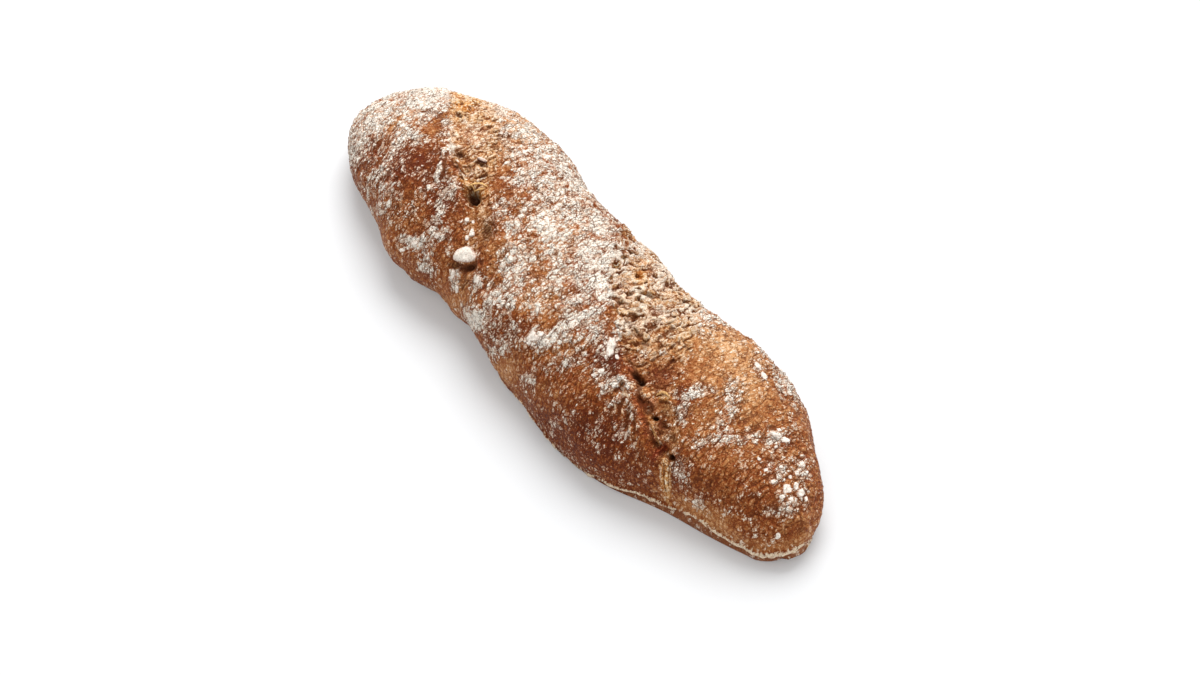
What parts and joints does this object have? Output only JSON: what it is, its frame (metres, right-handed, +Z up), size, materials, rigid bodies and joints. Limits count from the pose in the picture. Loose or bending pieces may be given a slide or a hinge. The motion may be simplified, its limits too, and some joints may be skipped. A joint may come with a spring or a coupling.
{
  "type": "baguette",
  "caption": "Short rustic wholegrain baguette, whole and uncut, with slanted torn slashes, a floury brown crust and a flat underside.",
  "frame": {"origin": "under the middle of the loaf's outline, on the surface that it rests on", "axes": "+X along the loaf from the blunt end to the tapered end, +Y across it, +Z up"},
  "size_m": [0.3474, 0.1062, 0.0609],
  "materials": {
    "crust": "baked brown crust, dry and slightly glossy on the blisters",
    "crumb": "torn golden-tan crumb, matt and open",
    "flour": "dry white flour in clumps and grains, matt",
    "bran": "bran flakes and seeds, satin"
  },
  "bodies": {
    "root": {"loaf": "crust"}
  },
  "joints": []
}
